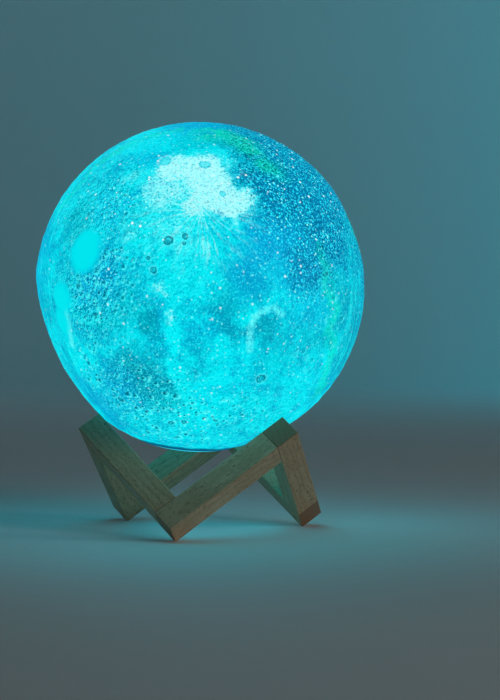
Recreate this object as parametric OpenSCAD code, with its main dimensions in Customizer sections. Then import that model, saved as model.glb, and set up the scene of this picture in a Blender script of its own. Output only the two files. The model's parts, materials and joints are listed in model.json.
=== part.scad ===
// Planet lamp: a printed relief globe lit from inside, lying loose in a cradle of six square
// beech rails that zigzag like the edges of a cube standing on its corner.
// The table top is z = 0 and the cradle's axis is x = y = 0.

/* [Cradle] */
// Width and height of a square rail
rail_w = 11.5; // [10:0.5:13]
// Length of a rail
rail_len = 59; // [54:1:64]
// Radius of the eased edges of a rail
rail_edge_r = 0.5; // [0.3:0.1:1]
// How much of each foot's tip is sanded flat
foot_flat = 0.8; // [0.6:0.1:1.5]
// Turn of the cradle about its upright axis, in degrees
cradle_turn = -42.3; // [-180:0.1:180]

/* [Joint dowels] */
// Diameter of a joint dowel
dowel_d = 5; // [4:0.5:6]
// How deep a dowel sits in the end of a rail
dowel_in_end = 9; // [6:0.5:12]
// How deep a dowel sits in the side of the next rail
dowel_in_side = 7; // [5:0.5:8]
// Radial clearance for the glue round a dowel
dowel_gap = 0.05; // [0.02:0.01:0.1]

/* [Globe] */
// Outer diameter of the printed globe
globe_d = 149; // [140:1:158]
// Wall thickness of the globe
globe_wall = 2; // [1.6:0.1:3]
// Gap between the globe and the corners that it lies on
seat_gap = 0.15; // [0.1:0.05:0.3]
// How far the lamp is turned away from the front in its cradle, in degrees
lean_away = 7; // [0:1:12]
// How far the foot of the lamp is turned to the left in its cradle, in degrees
lean_left = 5; // [0:1:12]
// Width of the thick collar round the globe's hole
collar_w = 8; // [6:0.5:10]
// Height of the collar's top over the pole
collar_top = 12.5; // [10:0.5:14]
// How far a crater's rim stands proud
rim_h = 0.4; // [0.2:0.1:0.6]

/* [Base cap] */
// Diameter of the cap's lip, which shows from below
cap_d = 44; // [40:1:48]
// Thickness of the lip at its edge
lip_t = 1.6; // [1.2:0.1:2.4]
// How far the lip overhangs the plug
lip_w = 2; // [1.5:0.5:3]
// Clearance between the cap and the globe
cap_gap = 0.15; // [0.1:0.05:0.3]
// Wall of the cap's plug
plug_wall = 1.8; // [1.4:0.1:2.4]
// Height of the plug's rim over the pole
plug_top = 18.5; // [16:0.5:22]
// Height of the cap's inner floor over the pole
floor_top = 4.2; // [3.8:0.1:5]

/* [Control board] */
// Thickness of the control board
board_t = 1.2; // [1:0.2:1.6]
// Clearance between the board's edge and the plug
board_gap = 0.4; // [0.2:0.1:0.6]
// Height of the bosses that carry the board
boss_h = 5.5; // [5:0.5:6.5]
// Diameter of a board boss
boss_d = 5; // [4.4:0.2:5.6]
// Distance of the board's screws from the axis
boss_at = 14; // [13:0.5:14.5]
// Diameter of a screw's thread
screw_d = 2; // [1.6:0.2:2.2]
// Length of a board screw under its head
screw_len = 5; // [4:0.5:6]
// Diameter of a screw's head
screw_head_d = 3.8; // [3.4:0.2:4]
// Height of a screw's head
screw_head_h = 1.4; // [1:0.2:1.8]
// Clearance round a screw's thread in a board
screw_gap = 0.15; // [0.1:0.05:0.3]

/* [Socket and button] */
// Distance of the charging socket from the axis
usb_at = 8; // [7:0.5:9]
// Width of the socket's steel shell
usb_w = 7.5; // [7:0.1:8]
// Height of the socket's steel shell
usb_h = 2.9; // [2.6:0.1:3.2]
// Wall of the socket's steel shell
usb_wall = 0.3; // [0.2:0.1:0.4]
// Depth of the socket
usb_len = 8.2; // [7.6:0.1:8.6]
// Clearance between the socket and the cap
usb_gap = 0.3; // [0.2:0.1:0.5]
// How far the recess for a charging plug reaches past the socket
plug_recess = 2.2; // [1.5:0.1:2.5]
// Distance of the power button from the axis
button_at = 8; // [7:0.5:9]
// Diameter of the power button
button_d = 8; // [7:0.5:9]
// Clearance round the power button
button_gap = 0.1; // [0.04:0.02:0.1]
// How far the power button stands proud of the cap
button_proud = 0.6; // [0.4:0.1:1]
// How far the power button travels
button_travel = 0.5; // [0.3:0.1:0.6]
// Thickness of the flange that keeps the button in
button_flange_t = 0.8; // [0.6:0.1:1]
// Width of the flange that keeps the button in
button_flange_w = 1; // [0.6:0.1:1.4]
// Side of the switch under the button
switch_w = 6; // [5:0.5:6.5]
// Height of the switch's housing
switch_h = 3.5; // [3.2:0.1:3.8]
// Diameter of the switch's plunger
plunger_d = 3.4; // [3:0.1:3.6]
// Clearance round the plunger
plunger_gap = 0.08; // [0.05:0.01:0.1]
// Depth of the plunger's hole in the switch
plunger_hole = 2.5; // [2.2:0.1:2.8]
// Diameter of the light pipe of the charge lamp
pipe_d = 2.8; // [2.4:0.1:3.2]

/* [Battery and tower] */
// Diameter of the battery cell
cell_d = 18.3; // [16:0.1:18.6]
// Length of the battery cell
cell_len = 34; // [30:1:36]
// Thickness of the pad under the cell
pad_under = 2; // [1.5:0.5:3]
// Thickness of the pad over the cell
pad_over = 3; // [3:0.5:4]
// Room for the leads between the cell and the tower
lead_room = 4.25; // [4:0.25:4.75]
// Wall of the tower
tower_wall = 1.6; // [1.2:0.2:2]
// Diameter of a lead
lead_d = 1.2; // [1:0.1:1.3]
// Thickness of the flange that closes the plug
cover_t = 2; // [1.6:0.2:2.4]
// Depth of the skirt that snaps into the plug
skirt_h = 4; // [3:0.5:5]

/* [Light board] */
// Thickness of the light board
light_board_t = 1.6; // [1:0.2:2]
// Distance of the lights from the axis
light_at = 7.4; // [7:0.1:7.8]
// Side of a light
light_w = 5; // [4.4:0.1:5]
// Height of a light
light_h = 1.6; // [1.4:0.1:2]

/* [Hidden] */
$fn = 64;

globe_r = globe_d / 2;
// Each rising rail and the falling one after it repeat every third of a turn
third_turn = 120;
// The rails are edges of a cube of this side, standing on its corner
cube_side = rail_len + rail_w;
cube_tip = -atan(sqrt(2));
far = 3 * globe_d;
cut = 0.5;

// Where the inner corners at the three peaks lie, which carry the globe
foot_drop = rail_len / sqrt(3) + foot_flat;
seat_r = rail_len * sqrt(2 / 3);
seat_z = (2 * cube_side + rail_w) / sqrt(3) - foot_drop;
left_peak = cradle_turn - third_turn;

// Broad shallow basins of the relief: compass angle, height angle, half its spread, depth
basins = [
  [-163, -26, 31, 3.2],
  [8, 21, 18, 1.2],
  [104, 38, 26, 1.6],
  [48, -22, 17, 1]
];
// Main craters on the front: compass angle, height angle, radius, depth
front_craters = [
  [-135, 12, 8, 0.9],
  [-62, -34, 3, 0.9],
  [-101, 17, 2.3, 0.6],
  [-94.5, 20, 1.5, 0.5],
  [-94, 14.5, 1.3, 0.5],
  [-106, 6, 1.9, 0.5],
  [-86, 47, 2.7, 0.6],
  [-79, 34, 2.4, 0.5],
  [-106, -55, 1.9, 0.6],
  [-98, -58, 1.8, 0.6],
  [-111, -10, 4.5, 0.6],
  [-14, -24, 1.7, 0.7],
  [-109, 51, 2.6, 0.5]
];
// Craters on the back spiral down round it, and repeat three sizes
back_count = 18;
back_turn = 52;
back_span = 156;
back_sizes = [4.6, 2.4, 3.4];
back_craters = [for (i = [0:back_count - 1]) [
  12 + (i * back_turn) % back_span,
  68 - 108 * i / (back_count - 1),
  back_sizes[i % 3],
  0.5 + back_sizes[i % 3] / 16
]];

// A basin's floor is part of a larger ball: its radius, and how far back its centre lies
function rise(b) = globe_r - b[3] - globe_r * cos(b[2]);
function basin_r(b) = (pow(globe_r * sin(b[2]), 2) + pow(rise(b), 2)) / (2 * rise(b));
function basin_back(b) = basin_r(b) - (globe_r - b[3]);
function direction(p) = [cos(p[1]) * cos(p[0]), cos(p[1]) * sin(p[0]), sin(p[1])];
function angle_between(p, q) = acos(direction(p) * direction(q));
function off_basins(c) = min([for (b = basins) angle_between(c, b) - b[2]]) > asin(c[2] / globe_r) + 1;
craters = [for (c = concat(front_craters, back_craters)) if (off_basins(c)) c];
function basin_reach(b, a) = -basin_back(b) * cos(a)
  + sqrt(pow(basin_r(b), 2) - pow(basin_back(b) * sin(a), 2));

// The globe settles a little towards the left peak, whose corner lies in the first basin
seat_reach = globe_r + seat_gap;
seat_height_angle = -acos(seat_r / seat_reach);
seat_to_basin = angle_between(basins[0], [left_peak, seat_height_angle]);
seat_drop = max(0, globe_r - basin_reach(basins[0], seat_to_basin));
settle = (pow(seat_reach, 2) - pow(seat_reach - seat_drop, 2)) / (3 * seat_r);
globe_x = settle * cos(left_peak);
globe_y = settle * sin(left_peak);
globe_z = seat_z + sqrt(pow(seat_reach, 2) - pow(settle, 2) - settle * seat_r - pow(seat_r, 2));

// Heights in the base, over the globe's lower pole
function dome(r) = globe_r - sqrt(pow(globe_r, 2) - pow(r, 2));
cap_r = cap_d / 2;
plug_r = cap_r - lip_w;
plug_in_r = plug_r - plug_wall;
lip_top = dome(cap_r) + lip_t;
board_z = floor_top + boss_h;
board_top = board_z + board_t;
board_r = plug_in_r - board_gap;
cell_r = cell_d / 2;
cell_z = board_top + pad_under;
cell_top = cell_z + cell_len;
tower_in_r = cell_r + lead_room;
tower_r = tower_in_r + tower_wall;
tower_in_top = cell_top + pad_over;
light_board_z = tower_in_top + tower_wall;
light_board_top = light_board_z + light_board_t;
light_board_r = tower_r - board_gap;
board_boss_angles = [30, 150, 270];
thread_bite = 0.15;
pilot_d = screw_d - 2 * thread_bite;
pilot_past = 0.4;

// Places of the small parts on the control board
usb_y = -usb_at;
usb_mouth = board_z - usb_len;
pipe_x = 9;
pipe_y = -5;
pipe_collar_w = 0.7;
pipe_collar_d = pipe_d + 2 * pipe_collar_w;
pipe_collar_t = 0.8;
pipe_led_gap = 0.3;
charge_led_h = 0.6;
press_spare = 0.3;
plunger_z = board_z - switch_h - button_travel - press_spare;
plunger_len = 2;
nub_d = 3;
dish_depth = 0.3;
chip_at = [-9, -3];
coil_at = [8, 0.5];
capacitor_y = 12.5;
capacitor_xs = [-7.5, 5];

// Battery leads, light leads, tower ribs and the plug that takes the battery leads
battery_lead_off = 1.4;
battery_lead_at = cell_r + lead_d / 2 + battery_lead_off;
battery_lead_pitch = 2;
pad_over_r = cell_r * 0.55;
battery_lead_end = cell_r * 0.6;
battery_plug_w = 6;
battery_plug_d = 3.4;
battery_plug_h = 5;
light_lead_off = 1.6;
light_lead_at = cell_r + lead_d / 2 + light_lead_off;
light_lead_pitch = 1.4;
light_lead_count = 4;
light_lead_slot_gap = 0.3;
rib_t = 1.6;
rib_gap = 0.3;
rib_angles = [30, 150, 210, 330];
tower_boss_in = 1.2;
tower_boss_at = tower_in_r - tower_boss_in;
tower_boss_d = 4.4;
tower_boss_h = 3;
tower_boss_angles = [30, 210];
light_screw_len = 4;
light_screw_head_h = 1.2;
light_count = 6;
bead_r = 0.35;
bead_gap = 0.1;

module cradle_pose() {
  translate([0, 0, -foot_drop]) rotate([0, 0, cradle_turn]) rotate([0, cube_tip, 0])
    rotate([0, 0, -45]) children();
}

module eased_square() {
  inner = rail_w - 2 * rail_edge_r;
  square([inner, rail_w], center = true);
  square([rail_w, inner], center = true);
  for (x = [-1, 1], y = [-1, 1])
    translate([x * inner / 2, y * inner / 2]) circle(r = rail_edge_r, $fn = 32);
}

module eased_oblong() {
  inner = rail_len - 2 * rail_edge_r;
  side = rail_w - 2 * rail_edge_r;
  square([side, rail_len], center = true);
  square([rail_w, inner], center = true);
  for (x = [-1, 1], y = [-1, 1])
    translate([x * side / 2, y * inner / 2]) circle(r = rail_edge_r, $fn = 32);
}

// A rail stands on its start. The rail before it butts against its +x side at the start,
// and its own far end butts against the next rail.
module rail_blank() {
  difference() {
    translate([0, 0, rail_len / 2]) intersection() {
      translate([0, 0, -rail_len / 2 - cut]) linear_extrude(rail_len + 2 * cut) eased_square();
      translate([0, rail_w / 2 + cut, 0]) rotate([90, 0, 0])
        linear_extrude(rail_w + 2 * cut) eased_oblong();
      translate([-rail_w / 2 - cut, 0, 0]) rotate([90, 0, 90])
        linear_extrude(rail_w + 2 * cut) eased_oblong();
    }
    translate([0, 0, rail_len - dowel_in_end - pilot_past])
      cylinder(d = dowel_d + 2 * dowel_gap, h = dowel_in_end + pilot_past + cut);
    translate([rail_w / 2 - dowel_in_side - pilot_past, 0, rail_w / 2]) rotate([0, 90, 0])
      cylinder(d = dowel_d + 2 * dowel_gap, h = dowel_in_side + pilot_past + cut);
  }
}

module rising_place() {
  translate([cube_side - rail_w / 2, 0, rail_w / 2]) rotate(a = -third_turn, v = [1, 1, 1]) children();
}

module falling_place() {
  translate([cube_side, cube_side - rail_w / 2, rail_w / 2]) rotate([90, 0, 0])
    rotate([0, -90, 0]) children();
}

// A rail that climbs from a foot to a peak. Its lowest corner is the foot.
module rising_rail(turn) {
  color("#b98f63") rotate([0, 0, turn]) difference() {
    cradle_pose() rising_place() rail_blank();
    translate([-far / 2, -far / 2, -far]) cube([far, far, far]);
  }
}

// A rail that falls from a peak to the next foot. Its top corner carries the globe.
module falling_rail(turn) {
  color("#b4895c") rotate([0, 0, turn]) cradle_pose() falling_place() rail_blank();
}

module dowel() {
  translate([0, 0, rail_len - dowel_in_end]) cylinder(d = dowel_d, h = dowel_in_end + dowel_in_side);
}

module joint_dowels() {
  color("#d9bb8c") for (k = [0:2]) rotate([0, 0, third_turn * k]) cradle_pose() {
    rising_place() dowel();
    falling_place() dowel();
  }
}

module globe_place() {
  translate([globe_x, globe_y, globe_z]) children();
}

// Stands at the lower pole of the globe, which the lamp's lean turns away from straight down
module base_place() {
  globe_place() rotate([lean_away, lean_left, 0]) translate([0, 0, -globe_r]) children();
}

module towards(p) {
  rotate([0, 90 - p[1], p[0]]) children();
}

// The ball with its basins, at the outer face or a wall further in
module relief_ball(inset) {
  intersection() {
    sphere(r = globe_r - inset, $fn = 128);
    intersection_for (b = basins)
      towards(b) translate([0, 0, -basin_back(b)]) sphere(r = basin_r(b) - inset, $fn = 128);
  }
}

module crater_rim(c) {
  towards(c) translate([0, 0, sqrt(pow(globe_r, 2) - pow(c[2], 2))])
    rotate_extrude($fn = 32) translate([c[2], 0]) circle(r = rim_h, $fn = 16);
}

module crater_bowl(c) {
  sink = sqrt(pow(globe_r, 2) - pow(c[2], 2)) - (globe_r - c[3]);
  bowl_r = (pow(c[2], 2) + pow(sink, 2)) / (2 * sink);
  towards(c) translate([0, 0, globe_r - c[3] + bowl_r]) sphere(r = bowl_r, $fn = 48);
}

module globe_shell() {
  color("#8fe9ee") difference() {
    union() {
      globe_place() difference() {
        union() {
          relief_ball(0);
          for (c = craters) crater_rim(c);
        }
        relief_ball(globe_wall);
        for (c = craters) crater_bowl(c);
      }
      // Thick collar that the base cap is glued into
      base_place() intersection() {
        cylinder(r = plug_r + cap_gap + collar_w, h = collar_top);
        translate([0, 0, globe_r]) sphere(r = globe_r, $fn = 128);
      }
    }
    base_place() {
      translate([0, 0, -cut]) cylinder(r = cap_r + cap_gap, h = lip_top + cut);
      cylinder(r = plug_r + cap_gap, h = collar_top + cut);
    }
  }
}

module usb_outline(grow) {
  half_w = usb_w / 2 + grow;
  half_h = usb_h / 2 + grow;
  slope = usb_h / 3;
  polygon([[-half_w, half_h], [-half_w, -half_h + slope], [-half_w + slope, -half_h],
    [half_w - slope, -half_h], [half_w, -half_h + slope], [half_w, half_h]]);
}

module rounded_rect(w, h, r) {
  square([w - 2 * r, h], center = true);
  square([w, h - 2 * r], center = true);
  for (x = [-1, 1], y = [-1, 1])
    translate([x * (w / 2 - r), y * (h / 2 - r)]) circle(r = r, $fn = 32);
}

module base_cap() {
  color("#dfe9ea") base_place() difference() {
    union() {
      // Domed lip that carries on the curve of the globe
      intersection() {
        cylinder(r = cap_r, h = lip_top);
        translate([0, 0, globe_r]) sphere(r = globe_r, $fn = 128);
      }
      translate([0, 0, floor_top]) cylinder(r = plug_r, h = plug_top - floor_top);
    }
    // The room inside the plug, round the bosses that carry the control board
    difference() {
      translate([0, 0, floor_top]) cylinder(r = plug_in_r, h = plug_top);
      for (a = board_boss_angles) rotate([0, 0, a]) translate([boss_at, 0, 0])
        cylinder(d = boss_d, h = board_z);
    }
    for (a = board_boss_angles) rotate([0, 0, a]) translate([boss_at, 0, board_z + board_t - screw_len])
      cylinder(d = pilot_d, h = screw_len, $fn = 24);
    // Groove that the inner cover's bead snaps into
    translate([0, 0, plug_top - skirt_h / 2]) rotate_extrude()
      translate([plug_in_r, 0]) circle(r = bead_r + bead_gap, $fn = 24);
    // Socket slot and the recess for a charging plug
    translate([0, usb_y, 0]) {
      linear_extrude(floor_top + cut) usb_outline(usb_gap);
      translate([0, 0, -cut]) linear_extrude(usb_mouth + cut)
        rounded_rect(usb_w + 2 * plug_recess, usb_h + 2 * plug_recess, plug_recess);
    }
    translate([0, button_at, -cut]) cylinder(d = button_d + 2 * button_gap, h = floor_top + 2 * cut);
    translate([pipe_x, pipe_y, -cut]) cylinder(d = pipe_d + 2 * screw_gap, h = floor_top + 2 * cut);
  }
}

module light_pipe() {
  pipe_foot = dome(norm([pipe_x, pipe_y]));
  color("#f4ffff") base_place() translate([pipe_x, pipe_y, 0]) {
    translate([0, 0, pipe_foot])
      cylinder(d = pipe_d, h = board_z - charge_led_h - pipe_led_gap - pipe_foot);
    translate([0, 0, floor_top]) cylinder(d = pipe_collar_d, h = pipe_collar_t);
  }
}

module power_button() {
  foot = dome(button_at) - button_proud;
  dish_r = 2 * button_d;
  color("#c9d2d4") base_place() translate([0, button_at, 0]) difference() {
    union() {
      translate([0, 0, foot]) cylinder(d = button_d, h = floor_top + button_flange_t - foot);
      translate([0, 0, floor_top]) cylinder(d = button_d + 2 * button_flange_w, h = button_flange_t);
      translate([0, 0, floor_top]) cylinder(d = nub_d, h = plunger_z - floor_top);
    }
    // Shallow dish for the fingertip
    translate([0, 0, foot - dish_r + dish_depth]) sphere(r = dish_r, $fn = 96);
  }
}

module switch_plunger() {
  color("#2b2b2e") base_place() translate([0, button_at, plunger_z])
    cylinder(d = plunger_d, h = plunger_len);
}

module tact_switch() {
  color("#3a3d42") base_place() translate([0, button_at, board_z - switch_h]) difference() {
    translate([-switch_w / 2, -switch_w / 2, 0]) cube([switch_w, switch_w, switch_h]);
    translate([0, 0, -cut]) cylinder(d = plunger_d + 2 * plunger_gap, h = plunger_hole + cut);
  }
}

module usb_shell() {
  color("#c4c8cb") base_place() translate([0, usb_y, usb_mouth]) difference() {
    linear_extrude(usb_len) usb_outline(0);
    translate([0, 0, -cut]) linear_extrude(usb_len - 2 * usb_wall + cut) usb_outline(-usb_wall);
  }
}

module usb_tongue() {
  tongue_w = usb_w / 2;
  tongue_t = usb_h / 4;
  tongue_len = usb_len * 0.8;
  block_h = usb_len / 4;
  block_gap = 0.05;
  color("#26282b") base_place() translate([0, usb_y, board_z - 2 * usb_wall]) {
    translate([0, 0, -block_h]) linear_extrude(block_h) usb_outline(-usb_wall - block_gap);
    translate([-tongue_w / 2, -tongue_t / 2, -tongue_len])
      cube([tongue_w, tongue_t, tongue_len - block_h + cut]);
  }
}

module control_board() {
  color("#1f6b3a") base_place() translate([0, 0, board_z]) difference() {
    cylinder(r = board_r, h = board_t);
    for (a = board_boss_angles) rotate([0, 0, a]) translate([boss_at, 0, -cut])
      cylinder(d = screw_d + 2 * screw_gap, h = board_t + 2 * cut, $fn = 24);
  }
}

module pan_screw(len, head_h) {
  translate([0, 0, -len]) cylinder(d = pilot_d, h = len + cut / 2, $fn = 24);
  difference() {
    cylinder(d = screw_head_d, h = head_h, $fn = 32);
    translate([0, 0, head_h / 2]) {
      translate([-screw_head_d / 3, -screw_d / 8, 0]) cube([screw_head_d * 2 / 3, screw_d / 4, head_h]);
      translate([-screw_d / 8, -screw_head_d / 3, 0]) cube([screw_d / 4, screw_head_d * 2 / 3, head_h]);
    }
  }
}

module board_screws() {
  color("#b5b8ba") base_place() for (a = board_boss_angles) rotate([0, 0, a])
    translate([boss_at, 0, board_top]) pan_screw(screw_len, screw_head_h);
}

module control_chip() {
  chip = [5.2, 9, 1.4];
  leg = [0.4, 1, 0.3];
  leg_pitch = 1.1;
  color("#17181a") base_place() translate([chip_at[0], chip_at[1], board_z]) {
    translate([-chip[0] / 2, -chip[1] / 2, -chip[2]]) cube(chip);
    for (side = [-1, 1], i = [-3:3])
      translate([side * (chip[0] / 2 + leg[1] / 2) - leg[1] / 2, i * leg_pitch - leg[0] / 2, -leg[2]])
        cube([leg[1], leg[0], leg[2]]);
  }
}

module board_parts() {
  coil = [4, 4, 2];
  coil_eye_d = 2.6;
  coil_eye_depth = 0.4;
  capacitor = [2, 1.25, 1.2];
  color("#4a3f38") base_place() translate([0, 0, board_z]) {
    translate([coil_at[0], coil_at[1], -coil[2]]) difference() {
      translate([-coil[0] / 2, -coil[1] / 2, 0]) cube(coil);
      translate([0, 0, -cut]) cylinder(d = coil_eye_d, h = cut + coil_eye_depth);
    }
    for (x = capacitor_xs) translate([x - capacitor[0] / 2, capacitor_y, -capacitor[2]]) cube(capacitor);
  }
}

module charge_led() {
  led = [1.6, 0.8, charge_led_h];
  color("#f2e7a0") base_place() translate([pipe_x - led[0] / 2, pipe_y - led[1] / 2, board_z - led[2]])
    cube(led);
}

module battery_plug() {
  color("#efece2") base_place()
    translate([-battery_plug_w / 2, battery_lead_at - battery_plug_d / 2, board_top])
      cube([battery_plug_w, battery_plug_d, battery_plug_h]);
}

module battery_pads() {
  color("#55595c") base_place() {
    translate([0, 0, board_top]) cylinder(r = cell_r - board_gap, h = pad_under);
    translate([0, 0, cell_top]) cylinder(r = pad_over_r, h = pad_over);
  }
}

module battery_cell() {
  bevel = 0.6;
  groove_z = cell_len * 0.9;
  color("#2f6fb0") base_place() translate([0, 0, cell_z]) rotate_extrude()
    polygon([[0, 0], [cell_r - bevel, 0], [cell_r, bevel], [cell_r, groove_z - bevel],
      [cell_r - bevel, groove_z], [cell_r, groove_z + bevel], [cell_r, cell_len - bevel],
      [cell_r - bevel, cell_len], [0, cell_len]]);
}

// Each lead comes down beside the cell from an elbow at its top
module battery_leads() {
  bend_r = lead_d;
  stub_z = cell_top + lead_d / 2;
  color("#b3262a") base_place() for (side = [-1, 1])
    translate([side * battery_lead_pitch / 2, 0, 0]) {
      translate([0, battery_lead_at, board_top + battery_plug_h])
        cylinder(d = lead_d, h = stub_z - bend_r - board_top - battery_plug_h, $fn = 24);
      translate([0, battery_lead_at - bend_r, stub_z - bend_r]) rotate([0, -90, 0])
        rotate_extrude(angle = 90, $fn = 48) translate([bend_r, 0]) circle(d = lead_d, $fn = 24);
      translate([0, battery_lead_at - bend_r, stub_z]) rotate([90, 0, 0])
        cylinder(d = lead_d, h = battery_lead_at - bend_r - battery_lead_end, $fn = 24);
    }
}

module inner_cover() {
  color("#e8eeee") base_place() difference() {
    union() {
      // Flange, skirt with its snap bead, and the tower that carries the light board
      translate([0, 0, plug_top]) cylinder(r = plug_r, h = cover_t);
      translate([0, 0, plug_top - skirt_h]) cylinder(r = plug_in_r - bead_gap, h = skirt_h + cut);
      translate([0, 0, plug_top - skirt_h / 2]) rotate_extrude()
        translate([plug_in_r - bead_gap, 0]) circle(r = bead_r, $fn = 24);
      translate([0, 0, plug_top]) cylinder(r = tower_r, h = light_board_z - plug_top);
    }
    translate([0, 0, plug_top - skirt_h - cut])
      cylinder(r = plug_in_r - bead_gap - plug_wall, h = skirt_h + cut);
    difference() {
      translate([0, 0, plug_top - cut]) cylinder(r = tower_in_r, h = tower_in_top - plug_top + cut);
      for (a = rib_angles) rotate([0, 0, a])
        translate([cell_r + rib_gap, -rib_t / 2, plug_top]) cube([lead_room, rib_t, cell_top - plug_top]);
      for (a = tower_boss_angles) rotate([0, 0, a])
        translate([tower_boss_at, 0, tower_in_top - tower_boss_h])
          cylinder(d = tower_boss_d, h = tower_boss_h);
    }
    for (a = tower_boss_angles) rotate([0, 0, a])
      translate([tower_boss_at, 0, light_board_top - light_screw_len])
        cylinder(d = pilot_d, h = light_screw_len, $fn = 24);
    // Slot for the light leads
    translate([-light_lead_at, 0, tower_in_top - cut]) linear_extrude(tower_wall + 2 * cut)
      square([lead_d + 2 * light_lead_slot_gap,
        light_lead_pitch * (light_lead_count - 1) + lead_d + 2 * light_lead_slot_gap], center = true);
  }
}

module light_board() {
  color("#f3f3ee") base_place() translate([0, 0, light_board_z]) difference() {
    cylinder(r = light_board_r, h = light_board_t);
    for (a = tower_boss_angles) rotate([0, 0, a]) translate([tower_boss_at, 0, -cut])
      cylinder(d = screw_d + 2 * screw_gap, h = light_board_t + 2 * cut, $fn = 24);
  }
}

module light_board_screws() {
  color("#b5b8ba") base_place() for (a = tower_boss_angles) rotate([0, 0, a])
    translate([tower_boss_at, 0, light_board_top]) pan_screw(light_screw_len, light_screw_head_h);
}

module lights() {
  window_r = light_w * 0.4;
  window_depth = 0.3;
  color("#fff6b0") base_place() for (i = [0:light_count - 1]) rotate([0, 0, 360 / light_count * i])
    translate([light_at, 0, light_board_top]) difference() {
      translate([-light_w / 2, -light_w / 2, 0]) cube([light_w, light_w, light_h]);
      translate([0, 0, light_h - window_depth]) cylinder(r = window_r, h = cut, $fn = 32);
    }
}

module ir_receiver() {
  case_size = [4.6, 3.8, 2];
  lens_r = 1.4;
  color("#1c1c20") base_place() translate([0, 0, light_board_top]) {
    translate([-case_size[0] / 2, -case_size[1] / 2, 0]) cube(case_size);
    translate([0, 0, case_size[2]]) intersection() {
      sphere(r = lens_r, $fn = 32);
      translate([0, 0, -lens_r / 2]) cylinder(r = lens_r, h = 2 * lens_r);
    }
  }
}

module light_leads() {
  color("#f0f0f0") base_place() for (i = [0:light_lead_count - 1])
    translate([-light_lead_at, (i - (light_lead_count - 1) / 2) * light_lead_pitch, board_top])
      cylinder(d = lead_d, h = light_board_z - board_top, $fn = 24);
}

rising_rail(0);  // rail_front_right
falling_rail(0);  // rail_right
rising_rail(third_turn);  // rail_back_right
falling_rail(third_turn);  // rail_back_left
rising_rail(2 * third_turn);  // rail_left
falling_rail(2 * third_turn);  // rail_front_left
joint_dowels();
globe_shell();
base_cap();
light_pipe();
power_button();
switch_plunger();
tact_switch();
usb_shell();
usb_tongue();
control_board();
control_chip();
board_parts();
charge_led();
board_screws();
battery_plug();
battery_pads();
battery_cell();
battery_leads();
inner_cover();
light_board();
light_board_screws();
lights();
ir_receiver();
light_leads();
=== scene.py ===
import bmesh
import bpy
import json
import math
import numpy as np
from mathutils import Matrix, Vector


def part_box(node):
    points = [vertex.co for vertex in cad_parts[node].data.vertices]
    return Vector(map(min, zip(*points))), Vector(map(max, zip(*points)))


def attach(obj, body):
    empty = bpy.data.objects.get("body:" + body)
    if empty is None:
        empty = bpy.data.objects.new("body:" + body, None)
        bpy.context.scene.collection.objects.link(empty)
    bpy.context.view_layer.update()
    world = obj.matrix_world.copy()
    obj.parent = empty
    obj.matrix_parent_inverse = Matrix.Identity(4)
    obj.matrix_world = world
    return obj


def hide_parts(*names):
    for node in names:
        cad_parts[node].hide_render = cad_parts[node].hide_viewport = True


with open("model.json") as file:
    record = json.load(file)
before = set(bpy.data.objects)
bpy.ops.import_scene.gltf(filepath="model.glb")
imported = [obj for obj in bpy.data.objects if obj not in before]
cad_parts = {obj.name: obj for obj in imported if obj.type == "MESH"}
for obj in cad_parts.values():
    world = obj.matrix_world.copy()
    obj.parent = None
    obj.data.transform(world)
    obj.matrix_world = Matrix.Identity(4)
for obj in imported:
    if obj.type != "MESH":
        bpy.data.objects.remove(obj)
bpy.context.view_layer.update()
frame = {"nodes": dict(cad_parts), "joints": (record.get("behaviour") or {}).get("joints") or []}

# The studio: a round pale sweep that rises softly far round the lamp, dim soft light from the
# right, a cyan glow on the wall behind, as in the photograph's room, and the camera as it stood
# for the photograph. Places are in metres, angles in degrees.
PHOTO_EYE = Vector((0.0213, -0.9766, 0.1096))
PHOTO_PITCH, PHOTO_ROLL, PHOTO_LENS = -1.668, 0.3756, 111.18
SWEEP_FLAT, SWEEP_BEND, SWEEP_WALL = 1.5, 0.5, 1.2
BEND_STEPS = 10


def paint(hex_colour):
    """The linear colour of an sRGB hex value."""
    parts = [int(hex_colour[i:i + 2], 16) / 255 for i in (1, 3, 5)]
    return tuple(c / 12.92 if c < 0.04045 else ((c + 0.055) / 1.055) ** 2.4 for c in parts) + (1.0,)


def finish_named(name):
    """A new material with a bare Principled shader: the material, its tree and the shader."""
    finish = bpy.data.materials.new(name)
    finish.use_nodes = True
    return finish, finish.node_tree, finish.node_tree.nodes["Principled BSDF"]


def nothing_selected():
    """Leaves edit mode and deselects everything, before a new piece is made."""
    if bpy.context.object and bpy.context.object.mode != "OBJECT":
        bpy.ops.object.mode_set(mode="OBJECT")
    bpy.ops.object.select_all(action="DESELECT")


pitch, roll = math.radians(PHOTO_PITCH), math.radians(PHOTO_ROLL)
eye_data = bpy.data.cameras.new("photo_camera")
eye_data.lens, eye_data.sensor_width, eye_data.sensor_fit = PHOTO_LENS, 36.0, "AUTO"
eye_data.clip_start, eye_data.clip_end = 0.05, 20.0
eye = bpy.data.objects.new("photo_camera", eye_data)
ahead = Vector((0, math.cos(pitch), math.sin(pitch)))
level_right = Vector((1, 0, 0))
level_up = level_right.cross(ahead)
right = math.cos(roll) * level_right + math.sin(roll) * level_up
up = right.cross(ahead)
eye.matrix_world = Matrix.Translation(PHOTO_EYE) @ Matrix((right, up, -ahead)).transposed().to_4x4()
bpy.context.scene.collection.objects.link(eye)
bpy.context.scene.camera = eye

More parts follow.
